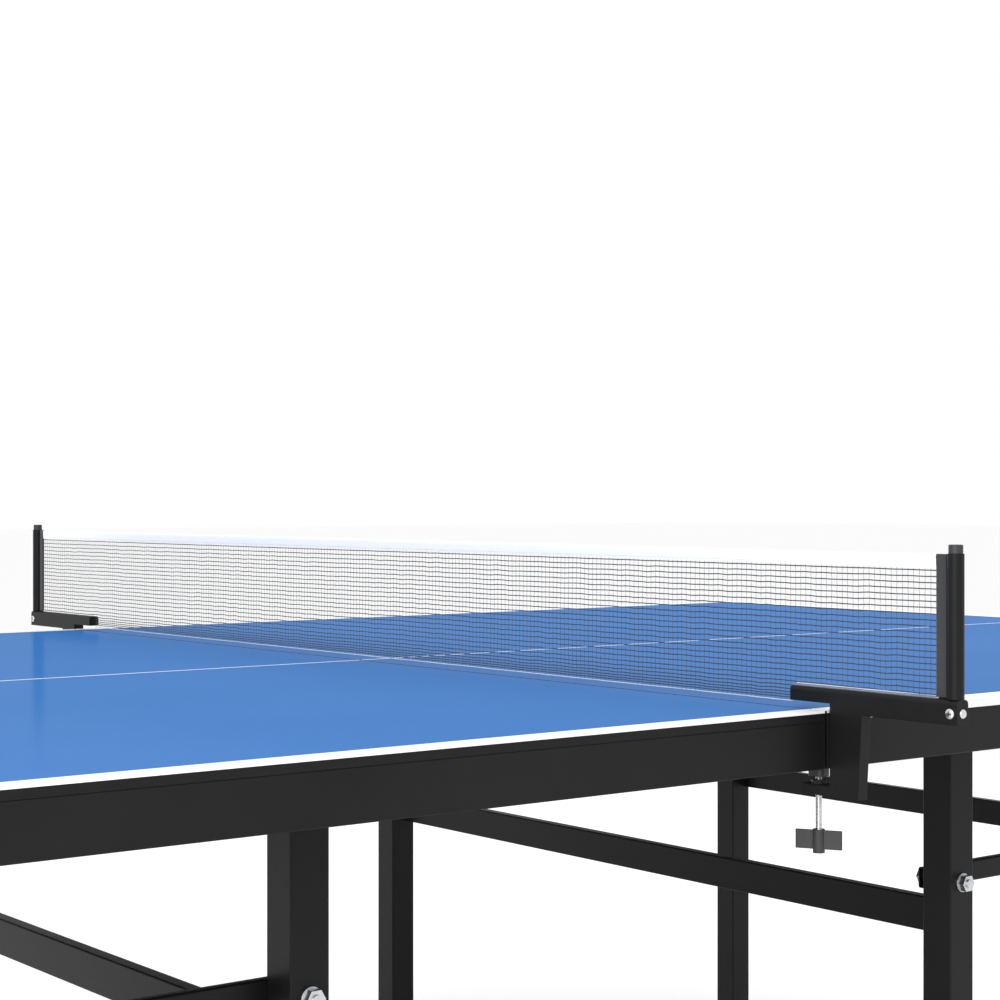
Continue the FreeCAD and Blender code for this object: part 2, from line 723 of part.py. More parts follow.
def net_fasteners():
    """A domed bolt head on each clamp's seam face and a rivet head on each outer end."""
    heads = []
    for side in SIDES.values():
        bolt = cylinder((0, side * POST_Y, BOLT_Z), "x", 4.8, -2.5, 0)
        rim = [edge for edge in bolt.Edges if edge.CenterOfMass.x < -2 and len(edge.Vertexes) == 1]
        heads.append(bolt.makeFillet(1.8, rim))
        end = side * ARM_END_Y
        rivet = cylinder((NET_X, 0, BOLT_Z), "y", 4.2, end, end + side * 2.0)
        rim = [edge for edge in rivet.Edges if abs(edge.CenterOfMass.y) > ARM_END_Y + 1
               and len(edge.Vertexes) == 1]
        heads.append(rivet.makeFillet(1.4, rim))
    return heads


def build_half(name, sign):
    """Write the nodes of one half of the table."""
    makers = (
        board, edge_trim, apron_rails, cross_braces, hinge_brackets, hinge_bolts,
        inner_leg_frame, tube_caps, outer_leg_frame, stays, stay_bolts,
    )
    for maker in makers:
        save(maker.__name__ + "_" + name, maker(sign))
    for side_name, side in SIDES.items():
        save("levelling_foot_" + name + "_" + side_name, levelling_foot(sign, side))


def build_castors():
    """Write the nodes of the eight castors; those at the outer ends have brakes."""
    for name, place in castor_places().items():
        save("castor_fork_" + name, castor_fork(*place))
        save("castor_wheel_" + name, castor_wheel(*place))
        if name.endswith("outer"):
            save("castor_brake_" + name, castor_brake(*place))


def build_net_set():
    """Write the nodes of the net, its posts and its clamps."""
    for maker in (clamp_bracket, clamp_pad, clamp_screw, wing_knob, net_post):
        for side_name, side in SIDES.items():
            save(maker.__name__ + "_" + side_name, maker(side))
    for maker in (post_pins, net_mesh, net_tape, net_fasteners):
        save(maker.__name__, maker())


def main():
    os.makedirs("parts", exist_ok=True)
    for name, sign in HALVES.items():
        build_half(name, sign)
    build_castors()
    build_net_set()


main()
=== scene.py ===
import json
import math

import bmesh
import bpy
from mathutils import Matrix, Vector, noise


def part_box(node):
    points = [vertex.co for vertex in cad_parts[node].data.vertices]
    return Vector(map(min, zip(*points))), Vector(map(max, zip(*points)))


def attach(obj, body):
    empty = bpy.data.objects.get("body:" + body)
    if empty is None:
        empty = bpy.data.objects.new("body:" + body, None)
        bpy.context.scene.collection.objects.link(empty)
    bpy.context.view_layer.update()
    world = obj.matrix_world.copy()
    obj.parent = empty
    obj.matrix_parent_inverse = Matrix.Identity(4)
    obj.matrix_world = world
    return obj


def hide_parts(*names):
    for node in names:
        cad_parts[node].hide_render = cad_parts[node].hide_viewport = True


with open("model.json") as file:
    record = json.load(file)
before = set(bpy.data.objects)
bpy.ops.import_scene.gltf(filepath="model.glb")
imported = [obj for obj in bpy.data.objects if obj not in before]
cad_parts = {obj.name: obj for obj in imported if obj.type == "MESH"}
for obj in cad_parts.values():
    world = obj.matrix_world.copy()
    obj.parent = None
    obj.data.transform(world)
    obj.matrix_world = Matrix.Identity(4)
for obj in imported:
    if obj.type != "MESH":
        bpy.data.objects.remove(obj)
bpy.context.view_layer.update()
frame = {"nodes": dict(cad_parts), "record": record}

# A folding table tennis table with a clamp-on net. X runs along the table, Y across it.
# Half a lies at X < 0, and half b, at X > 0, carries the net.

SIDES = {"near": -1, "far": 1}
HALVES = {"a": -1, "b": 1}

# Camera
CAMERA_PLACE = (-1.40663, -2.06611, 0.95475)
CAMERA_YAW = -38.139
CAMERA_LENS = 73.788
SENSOR_WIDTH = 36.0

# Board and line paint
BLUE_LOW = (0.034, 0.152, 0.425)
BLUE_HIGH = (0.042, 0.170, 0.465)
BLACK_BAND = ((0.007, 0.007, 0.0073), (0.011, 0.011, 0.0113))
WHITE_BAND = ((0.80, 0.81, 0.82), (0.87, 0.87, 0.87))
SEAM_BAND = 0.006

# Painted lines
LINE_WIDTH = 0.020
CENTRE_LINE_WIDTH = 0.003
PAINT = 0.00025
LIP = 0.0022

# Net and its tape, with threads, cord and stitches given by their radius
ROW_PITCH = 0.0055
COLUMN_PITCH = 0.0065
ROW_THREAD = 0.00052
COLUMN_THREAD = 0.0002
ROW_GAP = 0.0008
NET_RISE = 0.0008
NET_BULGE = 0.0012
END_FADE = 0.04
HEM_RADIUS = 0.00045
CLOTH_STEP = 0.006
CORD_RADIUS = 0.0009
STITCH_PITCH = 0.0042
STITCH_RADIUS = 0.00022
SLEEVE_THICKNESS = 0.003
SLEEVE_ROWS = 40
SLEEVE_SIDES = 16
SLEEVE_STITCH_PITCH = 0.0048
SLEEVE_STITCH_RADIUS = 0.0002

# Clamp
SCREW_PITCH = 0.00125
THREAD_DEPTH = 0.00055
THREAD_STEPS = 20
BOLT_RADIUS = 0.0048

# Welds
WELD_SIDES = 8
WELD_STEP = 0.0022
WELD_RADIUS = 0.0014
FOOT_WELD_RADIUS = 0.0016
WELD_INSET = 0.003
FOOT_WELD_HALF = 0.014

# Cross rails: lowest and highest points, depth along X, and shift from the leg's middle
RAIL_INNER = (0.458, 0.4975)
RAIL_INNER_DEPTH = 0.016
RAIL_INNER_OFFSET = 0.009
RAIL_OUTER = (0.447, 0.485)
RAIL_OUTER_DEPTH = 0.013
FOOT_TUBE_RISE = 0.030

FLOOR_REACH = 60.0

# Places on the boards, the net and the clamps
BOARD_LOW, BOARD_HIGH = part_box("board_b")
NET_LOW, NET_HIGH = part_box("net_mesh")
TAPE_LOW, TAPE_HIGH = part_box("net_tape")
BAR_LOW, BAR_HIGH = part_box("clamp_bracket_near")
POST_LOW, POST_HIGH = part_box("net_post_far")
TABLE_TOP = BOARD_HIGH.z
NET_X = (TAPE_LOW.x + TAPE_HIGH.x) / 2
NET_HALF = TAPE_HIGH.y
SLEEVE_END = NET_HIGH.y
BAR_TIP = abs(BAR_HIGH.y)
BAR_REACH = abs(BAR_LOW.y)
BAR_TOP = BAR_HIGH.z
POST_Y = POST_HIGH.y - (POST_HIGH.x - POST_LOW.x) / 2
TAPE_BOTTOM = TAPE_LOW.z + 0.0018
NET_BOTTOM = NET_LOW.z + 0.0012
HEM_ABOVE_BAR = BAR_TOP + 0.0016

# Places on the legs, which are the same on both halves
INNER_LOW, INNER_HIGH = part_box("inner_leg_frame_b")
OUTER_LOW, OUTER_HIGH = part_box("outer_leg_frame_b")
LEG_HALF = (OUTER_HIGH.x - OUTER_LOW.x) / 2
LEG_Y = OUTER_HIGH.y - LEG_HALF
INNER_LEG_X = (INNER_LOW.x + INNER_HIGH.x) / 2
OUTER_LEG_X = (OUTER_LOW.x + OUTER_HIGH.x) / 2
FOOT_TOP = INNER_LOW.z + FOOT_TUBE_RISE


# ---------- shader helpers ----------

def new_material(name):
    material = bpy.data.materials.new(name)
    material.use_nodes = True
    tree = material.node_tree
    tree.nodes.clear()
    shader = tree.nodes.new("ShaderNodeBsdfPrincipled")
    output = tree.nodes.new("ShaderNodeOutputMaterial")
    tree.links.new(shader.outputs["BSDF"], output.inputs["Surface"])
    return material, tree, shader


def place_node(tree, scale=(1, 1, 1)):
    """Object coordinates, which are the frame's metres on every piece."""
    coordinates = tree.nodes.new("ShaderNodeTexCoord")
    mapping = tree.nodes.new("ShaderNodeMapping")
    mapping.inputs["Scale"].default_value = scale
    tree.links.new(coordinates.outputs["Object"], mapping.inputs["Vector"])
    return mapping.outputs["Vector"]


def noise_node(tree, vector, scale, detail=3.0, roughness=0.5):
    node = tree.nodes.new("ShaderNodeTexNoise")
    node.inputs["Scale"].default_value = scale
    node.inputs["Detail"].default_value = detail
    node.inputs["Roughness"].default_value = roughness
    tree.links.new(vector, node.inputs["Vector"])
    return node.outputs["Fac"]


def ramp_node(tree, value, low, high, start, end):
    """A colour ramp from start to end as value goes from low to high."""
    node = tree.nodes.new("ShaderNodeValToRGB")
    node.color_ramp.elements[0].position = low
    node.color_ramp.elements[1].position = high
    node.color_ramp.elements[0].color = (*start, 1)
    node.color_ramp.elements[1].color = (*end, 1)
    tree.links.new(value, node.inputs["Fac"])
    return node.outputs["Color"]


def range_node(tree, value, low, high):
    """A value from 0..1 mapped to low..high."""
    node = tree.nodes.new("ShaderNodeMapRange")
    node.inputs["To Min"].default_value = low
    node.inputs["To Max"].default_value = high
    tree.links.new(value, node.inputs["Value"])
    return node.outputs["Result"]


def bump_node(tree, height, strength, distance, normal=None):
    node = tree.nodes.new("ShaderNodeBump")
    node.inputs["Strength"].default_value = strength
    node.inputs["Distance"].default_value = distance
    tree.links.new(height, node.inputs["Height"])
    if normal is not None:
        tree.links.new(normal, node.inputs["Normal"])
    return node.outputs["Normal"]


def round_edges(tree, radius):
    """A shading normal that rounds a sharp edge."""
    node = tree.nodes.new("ShaderNodeBevel")
    node.samples = 6
    node.inputs["Radius"].default_value = radius
    return node.outputs["Normal"]


# ---------- materials ----------

def split_along(tree, place, axis, limit, below, above):
    """One colour below a limit along an axis, and another above it."""
    split = tree.nodes.new("ShaderNodeSeparateXYZ")
    tree.links.new(place, split.inputs["Vector"])
    step = tree.nodes.new("ShaderNodeMath")
    step.operation = "GREATER_THAN"
    step.inputs[1].default_value = limit
    tree.links.new(split.outputs[axis], step.inputs[0])
    mix = tree.nodes.new("ShaderNodeMix")
    mix.data_type = "RGBA"
    tree.links.new(step.outputs["Value"], mix.inputs["Factor"])
    tree.links.new(below, mix.inputs[6])
    tree.links.new(above, mix.inputs[7])
    return mix.outputs[2]


def board_paint():
    """Blue lacquer with a thin clear coat on top, and a plain dark composite underside."""
    material, tree, shader = new_material("board_paint")
    place = place_node(tree)
    broad = noise_node(tree, place, 2.2, 4.0)
    blue = ramp_node(tree, broad, 0.25, 0.75, BLUE_LOW, BLUE_HIGH)
    chips = noise_node(tree, place, 260.0, 5.0, 0.65)
    under = ramp_node(tree, chips, 0.3, 0.7, (0.028, 0.027, 0.026), (0.050, 0.048, 0.046))
    colour = split_along(tree, place, "Z", TABLE_TOP - 0.0003, under, blue)
    tree.links.new(colour, shader.inputs["Base Color"])
    scuffs = noise_node(tree, place_node(tree, (1, 3.5, 1)), 9.0, 7.0, 0.7)
    tree.links.new(range_node(tree, scuffs, 0.40, 0.55), shader.inputs["Roughness"])
    grain = noise_node(tree, place, 1500.0, 2.0)
    tree.links.new(bump_node(tree, grain, 0.06, 0.0002), shader.inputs["Normal"])
    shader.inputs["Specular IOR Level"].default_value = 0.0
    shader.inputs["Coat Weight"].default_value = 0.11
    shader.inputs["Coat Roughness"].default_value = 0.14
    shader.inputs["Coat IOR"].default_value = 1.5
    return material


def line_paint():
    material, tree, shader = new_material("line_paint")
    place = place_node(tree)
    wear = noise_node(tree, place, 30.0, 6.0, 0.65)
    tone = ramp_node(tree, wear, 0.3, 0.7, (0.83, 0.84, 0.85), (0.90, 0.90, 0.90))
    tree.links.new(tone, shader.inputs["Base Color"])
    tree.links.new(range_node(tree, wear, 0.35, 0.5), shader.inputs["Roughness"])
    grain = noise_node(tree, place, 1300.0, 2.0)
    tree.links.new(bump_node(tree, grain, 0.12, 0.0002), shader.inputs["Normal"])
    return material


def edge_band(name, low, high):
    """An edge band with a fine grain along it, always black at and beside the seam."""
    material, tree, shader = new_material(name)
    place = place_node(tree)
    streak = noise_node(tree, place_node(tree, (20, 20, 400)), 3.0, 4.0)
    colour = ramp_node(tree, streak, 0.3, 0.7, low, high)
    black = ramp_node(tree, streak, 0.3, 0.7, *BLACK_BAND)
    banded = split_along(tree, place, "X", abs(BOARD_LOW.x) + SEAM_BAND, black, colour)
    tree.links.new(banded, shader.inputs["Base Color"])
    tree.links.new(range_node(tree, streak, 0.36, 0.5), shader.inputs["Roughness"])
    grain = noise_node(tree, place, 900.0, 2.0)
    normal = bump_node(tree, grain, 0.12, 0.0002, round_edges(tree, 0.0005))
    tree.links.new(normal, shader.inputs["Normal"])
    shader.inputs["Specular IOR Level"].default_value = 0.14
    return material


def powder_coat():
    """Satin black powder coat: orange peel, soft dust and slightly polished spots."""
    material, tree, shader = new_material("black_powder_coat")
    place = place_node(tree)
    dust = noise_node(tree, place, 6.0, 5.0, 0.6)
    tone = ramp_node(tree, dust, 0.3, 0.75, (0.0060, 0.0060, 0.0062), (0.0095, 0.0095, 0.0098))
    tree.links.new(tone, shader.inputs["Base Color"])
    tree.links.new(range_node(tree, dust, 0.34, 0.46), shader.inputs["Roughness"])
    peel = noise_node(tree, place, 620.0, 2.0, 0.45)
    normal = bump_node(tree, peel, 0.16, 0.0004, round_edges(tree, 0.0011))
    tree.links.new(normal, shader.inputs["Normal"])
    shader.inputs["Specular IOR Level"].default_value = 0.16
    return material


def bright_metal(name, low, high, rough_low, rough_high):
    """Plated or polished steel with fine turning marks and faint spots."""
    material, tree, shader = new_material(name)
    place = place_node(tree)
    spots = noise_node(tree, place, 140.0, 5.0, 0.6)
    tree.links.new(ramp_node(tree, spots, 0.3, 0.75, low, high), shader.inputs["Base Color"])
    tree.links.new(range_node(tree, spots, rough_low, rough_high), shader.inputs["Roughness"])
    marks = noise_node(tree, place_node(tree, (600, 600, 3500)), 1.0, 2.0)
    normal = bump_node(tree, marks, 0.12, 0.0001, round_edges(tree, 0.0005))
    tree.links.new(normal, shader.inputs["Normal"])
    shader.inputs["Metallic"].default_value = 1.0
    return material


def moulded(name, low, high, rough_low, rough_high, grain_scale):
    """Moulded plastic or rubber with a pebble grain."""
    material, tree, shader = new_material(name)
    place = place_node(tree)
    tone_noise = noise_node(tree, place, 18.0, 4.0)
    tree.links.new(ramp_node(tree, tone_noise, 0.3, 0.7, low, high), shader.inputs["Base Color"])
    tree.links.new(range_node(tree, tone_noise, rough_low, rough_high), shader.inputs["Roughness"])
    cells = tree.nodes.new("ShaderNodeTexVoronoi")
    cells.inputs["Scale"].default_value = grain_scale
    tree.links.new(place, cells.inputs["Vector"])
    normal = bump_node(tree, cells.outputs["Distance"], 0.18, 0.0003, round_edges(tree, 0.0006))
    tree.links.new(normal, shader.inputs["Normal"])
    return material


def woven(name, low, high, pitch, roughness, sheen):
    """Plain-woven cloth on a surface across X: warp along Y and weft along Z, with painted shade
    in the weave's hollows.
    """
    material, tree, shader = new_material(name)
    place = place_node(tree)
    split = tree.nodes.new("ShaderNodeSeparateXYZ")
    tree.links.new(place, split.inputs["Vector"])
    heights = []
    for axis in ("Y", "Z"):
        turn = tree.nodes.new("ShaderNodeMath")
        turn.operation = "MULTIPLY"
        turn.inputs[1].default_value = 2 * math.pi / pitch
        tree.links.new(split.outputs[axis], turn.inputs[0])
        wave = tree.nodes.new("ShaderNodeMath")
        wave.operation = "SINE"
        tree.links.new(turn.outputs["Value"], wave.inputs[0])
        heights.append(wave.outputs["Value"])
    cross = tree.nodes.new("ShaderNodeMath")
    cross.operation = "MULTIPLY"
    tree.links.new(heights[0], cross.inputs[0])
    tree.links.new(heights[1], cross.inputs[1])
    # Painted shade: the colour follows the weave's bump height, darker in the hollows and lighter
    # on the raised crossings.
    tone = ramp_node(tree, range_node(tree, cross.outputs["Value"], 0.5, 1.0), 0.2, 0.9, low, high)
    tree.links.new(tone, shader.inputs["Base Color"])
    tree.links.new(
        bump_node(tree, cross.outputs["Value"], 0.35, 0.0002), shader.inputs["Normal"]
    )
    fuzz = noise_node(tree, place, 700.0, 3.0)
    tree.links.new(
        range_node(tree, fuzz, roughness - 0.08, roughness + 0.08), shader.inputs["Roughness"]
    )
    shader.inputs["Sheen Weight"].default_value = sheen
    return material


def thread_material():
    """Twisted dark nylon."""
    material, tree, shader = new_material("net_thread")
    place = place_node(tree)
    twist = noise_node(tree, place, 1800.0, 2.0)
    tone = ramp_node(tree, twist, 0.3, 0.7, (0.012, 0.016, 0.026), (0.028, 0.034, 0.050))
    tree.links.new(tone, shader.inputs["Base Color"])
    tree.links.new(bump_node(tree, twist, 0.3, 0.0002), shader.inputs["Normal"])
    tree.links.new(range_node(tree, twist, 0.5, 0.7), shader.inputs["Roughness"])
    shader.inputs["Sheen Weight"].default_value = 0.15
    return material


# ---------- mesh helpers ----------

def add_piece(name, mesh_data, material, body, smooth_angle=35.0):
    """Make a piece from a bmesh, smooth where its faces meet gently, and let it ride."""
    mesh = bpy.data.meshes.new(name)
    bmesh.ops.recalc_face_normals(mesh_data, faces=mesh_data.faces)
    mesh_data.to_mesh(mesh)
    mesh_data.free()
    mesh.materials.append(material)
    mesh.polygons.foreach_set("use_smooth", [True] * len(mesh.polygons))
    mesh.set_sharp_from_angle(angle=math.radians(smooth_angle))
    piece = bpy.data.objects.new(name, mesh)
    bpy.context.scene.collection.objects.link(piece)
    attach(piece, body)
    return piece


def add_block(mesh_data, low, high, bevel=0.0, segments=2):
    """Add a box between two corners, its edges rounded if bevel is given."""
    made = bmesh.ops.create_cube(mesh_data, size=1.0)
    size = [high[i] - low[i] for i in range(3)]
    middle = [(high[i] + low[i]) / 2 for i in range(3)]
    for vertex in made["verts"]:
        vertex.co = Vector([vertex.co[i] * size[i] + middle[i] for i in range(3)])
    if bevel > 0:
        edges = {edge for vertex in made["verts"] for edge in vertex.link_edges}
        bmesh.ops.bevel(
            mesh_data, geom=list(edges), offset=bevel, segments=segments, affect="EDGES",
            profile=0.5,
        )


def axis_matrix(axis):
    """A turn that takes +Z onto the axis."""
    return Vector(axis).to_track_quat("Z", "Y").to_matrix()


def join_rings(mesh_data, rings):
    """Close a skin over rings of points, with a face across each end."""
    count = len(rings[0])
    for lower, upper in zip(rings, rings[1:]):
        for index in range(count):
            after = (index + 1) % count
            mesh_data.faces.new((lower[index], lower[after], upper[after], upper[index]))
    mesh_data.faces.new(rings[0][::-1])
    mesh_data.faces.new(rings[-1])


def add_lathe(mesh_data, centre, axis, profile, steps=32):
    """Add a turned shape: profile is (radius, distance along the axis) points."""
    turn = axis_matrix(axis)
    rings = []
    for radius, along in profile:
        ring = []
        for step in range(steps):
            angle = 2 * math.pi * step / steps
            local = Vector((radius * math.cos(angle), radius * math.sin(angle), along))
            ring.append(mesh_data.verts.new(turn @ local + Vector(centre)))
        rings.append(ring)
    join_rings(mesh_data, rings)


def add_tube(mesh_data, points, radius, sides=4):
    """Add a tube through the points, closed at both ends."""
    rings = []
    for index, point in enumerate(points):
        before = points[max(index - 1, 0)]
        after = points[min(index + 1, len(points) - 1)]
        turn = axis_matrix(after - before)
        ring = []
        for side in range(sides):
            angle = 2 * math.pi * side / sides
            local = Vector((radius * math.cos(angle), radius * math.sin(angle), 0))
            ring.append(mesh_data.verts.new(turn @ local + point))
        rings.append(ring)
    join_rings(mesh_data, rings)


# ---------- painted lines ----------

def border_section(outer, inner, top):
    """A line's section: from its inner edge over the lip's corner and down the lip."""
    return [
        (inner, top - PAINT), (inner, top + PAINT), (outer + PAINT * 0.4, top + PAINT),
        (outer + PAINT, top + PAINT * 0.4), (outer + PAINT, top - LIP), (outer - PAINT, top - LIP),
        (outer - PAINT, top - PAINT),
    ]


def add_border_run(mesh_data, section, place, start, end):
    """Extrude a section from start to end; place(across, up, along) gives each point."""
    rings = []
    for along in (start, end):
        rings.append([mesh_data.verts.new(place(across, up, along)) for across, up in section])
    join_rings(mesh_data, rings)


def painted_lines(half, sign):
    """The white border lines, wrapped over the board's lip, and the centre line."""
    low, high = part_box("board_" + half)
    seam = min(abs(low.x), abs(high.x))
    end = max(abs(low.x), abs(high.x))
    width = high.y
    top = high.z
    mesh_data = bmesh.new()
    section = border_section(width, width - LINE_WIDTH, top)
    for side in SIDES.values():
        add_border_run(
            mesh_data, section,
            lambda across, up, along, side=side: Vector((sign * along, side * across, up)),
            seam - PAINT, end - LINE_WIDTH,
        )
    section = border_section(end, end - LINE_WIDTH, top)
    add_border_run(
        mesh_data, section,
        lambda across, up, along: Vector((sign * across, along, up)),
        -width, width,
    )
    for side in SIDES.values():
        strip = sorted((sign * (end - LINE_WIDTH), sign * end))
        across = sorted((side * (width - PAINT), side * (width + PAINT)))
        add_block(
            mesh_data, (strip[0], across[0], top - LIP), (strip[1], across[1], top + PAINT)
        )
    run = sorted((sign * seam, sign * (end - LINE_WIDTH)))
    half_line = CENTRE_LINE_WIDTH / 2
    add_block(
        mesh_data, (run[0], -half_line, top - PAINT), (run[1], half_line, top + PAINT)
    )
    add_piece("painted_lines_" + half, mesh_data, LINE_PAINT, "top_" + half)


# ---------- net ----------

def end_fade(across):
    """0 at the net's ends, where the posts hold it still, and 1 a little way in."""
    return min(1.0, (NET_HALF - abs(across)) / END_FADE)


def net_point(across, up):
    """Where a knot hangs: the net bulges gently and its rows rise and fall."""
    height = (up - NET_BOTTOM) / (TAPE_BOTTOM - NET_BOTTOM)
    hang = math.sin(math.pi * min(max(height, 0.0), 1.0))
    end = end_fade(across)
    wave = noise.noise(Vector((across * 9.0, up * 6.0, 3.1)))
    ripple = noise.noise(Vector((across * 60.0, up * 45.0, 7.7)))
    bulge = (wave * NET_BULGE + ripple * 0.0003) * hang * end
    lift = noise.noise(Vector((across * 70.0, up * 20.0, 1.3))) * NET_RISE * end
    sag = noise.noise(Vector((across * 5.0, 0.0, 9.4))) * 0.0010 * hang * end
    return Vector((NET_X + bulge, across, up + (lift + sag) * min(1.0, hang * 3 + 0.15)))


def row_heights():
    """Rows are evenly spaced, and gather close together above the bottom hem."""
    heights = []
    up = TAPE_BOTTOM - ROW_PITCH * 0.35
    pitch = ROW_PITCH
    while up > NET_BOTTOM + 0.0012:
        heights.append(up)
        if up < NET_BOTTOM + 0.026:
            pitch = max(ROW_PITCH * 0.42, pitch * 0.86)
        up -= pitch
    return heights


def bottom_at(across):
    """The net's lower edge: over the clamp bars it lies on them."""
    over_bar = abs(across) > BAR_TIP - 0.002
    return HEM_ABOVE_BAR if over_bar else NET_BOTTOM


def net_columns():
    """Where the upright threads stand, evenly from end to end."""
    count = int(2 * NET_HALF / COLUMN_PITCH)
    return [-NET_HALF + 2 * NET_HALF * index / count for index in range(count + 1)]


def net_threads():
    """The knotless net: heavier threads along it, and finer ones up it."""
    mesh_data = bmesh.new()
    columns = net_columns()
    heights = row_heights()
    for up in heights:
        spans = [[]]
        for across in columns:
            if up > bottom_at(across) + ROW_GAP:
                spans[-1].append(net_point(across, up))
            elif spans[-1]:
                spans.append([])
        for span in spans:
            if len(span) > 1:
                add_tube(mesh_data, span, ROW_THREAD)
    for index, across in enumerate(columns):
        bottom = bottom_at(across)
        rows = [up for up in heights if up > bottom + ROW_GAP]
        points = [net_point(across, up) for up in [TAPE_BOTTOM + 0.002] + rows + [bottom]]
        shift = 0.0003 * (-1) ** index
        points = [point + Vector((0, shift if step % 2 else -shift, 0))
                  for step, point in enumerate(points)]
        add_tube(mesh_data, points, COLUMN_THREAD)
    piece = add_piece("net_threads", mesh_data, THREAD, "top_b", 80.0)
    area = sum(polygon.area for polygon in piece.data.polygons) / 2
    return piece, area


def net_hem():
    """The pale selvedge along the net's foot: a run on each clamp bar and one between them."""
    mesh_data = bmesh.new()
    runs = (
        (-NET_HALF, -BAR_TIP - 0.002, HEM_ABOVE_BAR),
        (-BAR_TIP + 0.004, BAR_TIP - 0.004, NET_BOTTOM),
        (BAR_TIP + 0.002, NET_HALF, HEM_ABOVE_BAR),
    )
    for start, end, up in runs:
        count = max(2, int((end - start) / CLOTH_STEP))
        points = []
        for index in range(count + 1):
            across = start + (end - start) * index / count
            sway = noise.noise(Vector((across * 22.0, 4.0, 0.5))) * 0.0008
            points.append(Vector((NET_X + sway, across, up + abs(sway) * 0.4)))
        add_tube(mesh_data, points, HEM_RADIUS, 6)
    return add_piece("net_hem", mesh_data, HEM_CLOTH, "top_b", 60.0)


def net_tape():
    """The white tape, folded over the net's top cord."""
    mesh_data = bmesh.new()
    half = (TAPE_HIGH.x - TAPE_LOW.x) / 2 - 0.0001
    top = TAPE_HIGH.z
    section = [(-half * 0.55, TAPE_BOTTOM), (-half * 0.75, TAPE_BOTTOM + 0.003)]
    section += [(-half * 0.9, top - 0.005)]
    for step in range(9):
        angle = math.pi * (1 - step / 8)
        section.append((half * math.cos(angle), top - half + half * math.sin(angle) - 0.0001))
    section += [(half * 0.9, top - 0.005), (half * 0.75, TAPE_BOTTOM + 0.003)]
    section += [(half * 0.55, TAPE_BOTTOM)]
    count = int(2 * NET_HALF / CLOTH_STEP)
    rings = []
    for index in range(count + 1):
        across = -NET_HALF + 2 * NET_HALF * index / count
        end = end_fade(across)
        pucker = noise.noise(Vector((across * 55.0, 2.0, 6.0))) * 0.0004 * end
        drift = noise.noise(Vector((across * 7.0, 5.0, 2.0))) * 0.0005 * end
        ring = []
        for offset, up in section:
            low = 1.0 - (up - TAPE_BOTTOM) / (top - TAPE_BOTTOM)
            point = Vector((NET_X + offset + pucker * low, across, up + drift * low))
            ring.append(mesh_data.verts.new(point))
        rings.append(ring)
    for lower, upper in zip(rings, rings[1:]):
        for index in range(len(section) - 1):
            mesh_data.faces.new((lower[index], lower[index + 1], upper[index + 1], upper[index]))
    piece = add_piece("net_tape_cloth", mesh_data, TAPE_CLOTH, "top_b", 60.0)
    across = sum((Vector(b) - Vector(a)).length for a, b in zip(section, section[1:]))
    return piece, across


def tape_stitches():
    """A row of small stitches along the tape's lower edge, on both faces."""
    mesh_data = bmesh.new()
    inset = 0.005
    count = int((2 * NET_HALF - 2 * inset) / STITCH_PITCH)
    for face in (-1, 1):
        for index in range(count):
            across = -NET_HALF + inset + STITCH_PITCH * index
            up = TAPE_BOTTOM + 0.0024
            out = NET_X + face * 0.00125
            points = [
                Vector((out - face * 0.0002, across, up)),
                Vector((out + face * 0.0001, across + 0.0008, up)),
                Vector((out + face * 0.0001, across + 0.0020, up)),
                Vector((out - face * 0.0002, across + 0.0028, up)),
            ]
            add_tube(mesh_data, points, STITCH_RADIUS)
    return add_piece("net_tape_stitches", mesh_data, HEM_CLOTH, "top_b", 60.0)


def net_cord():
    """The tension cord inside the tape, from post to post."""
    mesh_data = bmesh.new()
    up = TAPE_HIGH.z - 0.0022
    reach = SLEEVE_END + 0.003
    count = 40
    points = []
    for index in range(count + 1):
        points.append(Vector((NET_X, -reach + 2 * reach * index / count, up)))
    add_tube(mesh_data, points, CORD_RADIUS, 6)
    add_piece("net_top_cord", mesh_data, THREAD, "top_b", 60.0)


def sleeve_stitches(mesh_data, side, bottom, top):
    """Two rows of stitches down the sleeve's inner edge, one on each face."""
    inner = side * (NET_HALF + 0.0022)
    count = int((top - bottom - 0.004) / SLEEVE_STITCH_PITCH)
    for index in range(count):
        up = bottom + 0.002 + SLEEVE_STITCH_PITCH * index
        for face in (-1, 1):
            out = NET_X + face * 0.00122
            proud = out + face * 0.00022
            points = [
                Vector((out, inner, up)),
                Vector((proud, inner, up + 0.001)),
                Vector((proud, inner, up + 0.0022)),
                Vector((out, inner, up + 0.0032)),
            ]
            add_tube(mesh_data, points, SLEEVE_STITCH_RADIUS)


def net_sleeve(name, side):
    """The black cloth sleeve at one end of the net, seamed down its inner edge."""
    mesh_data = bmesh.new()
    low_y, high_y = sorted((side * (NET_HALF - 0.0004), side * SLEEVE_END))
    bottom = BAR_TOP + 0.001
    top = NET_HIGH.z
    half = SLEEVE_THICKNESS / 2
    outline = []
    for step in range(SLEEVE_SIDES):
        angle = 2 * math.pi * step / SLEEVE_SIDES
        outline.append((math.cos(angle), math.sin(angle)))
    middle_y = (low_y + high_y) / 2
    half_y = (high_y - low_y) / 2
    rings = []
    for row in range(SLEEVE_ROWS + 1):
        up = bottom + (top - bottom) * row / SLEEVE_ROWS
        swell = 1.0 + 0.10 * noise.noise(Vector((side * 3.0, up * 60.0, 0.0)))
        ring = []
        for across, along in outline:
            flat_y = math.copysign(abs(along) ** 0.6, along)
            ring.append(mesh_data.verts.new(
                Vector((NET_X + half * across * swell * 0.92, middle_y + half_y * flat_y, up))
            ))
        rings.append(ring)
    join_rings(mesh_data, rings)
    sleeve_stitches(mesh_data, side, bottom, top)
    return add_piece("net_sleeve_" + name, mesh_data, SLEEVE_CLOTH, "top_b", 60.0)


# ---------- clamp details ----------

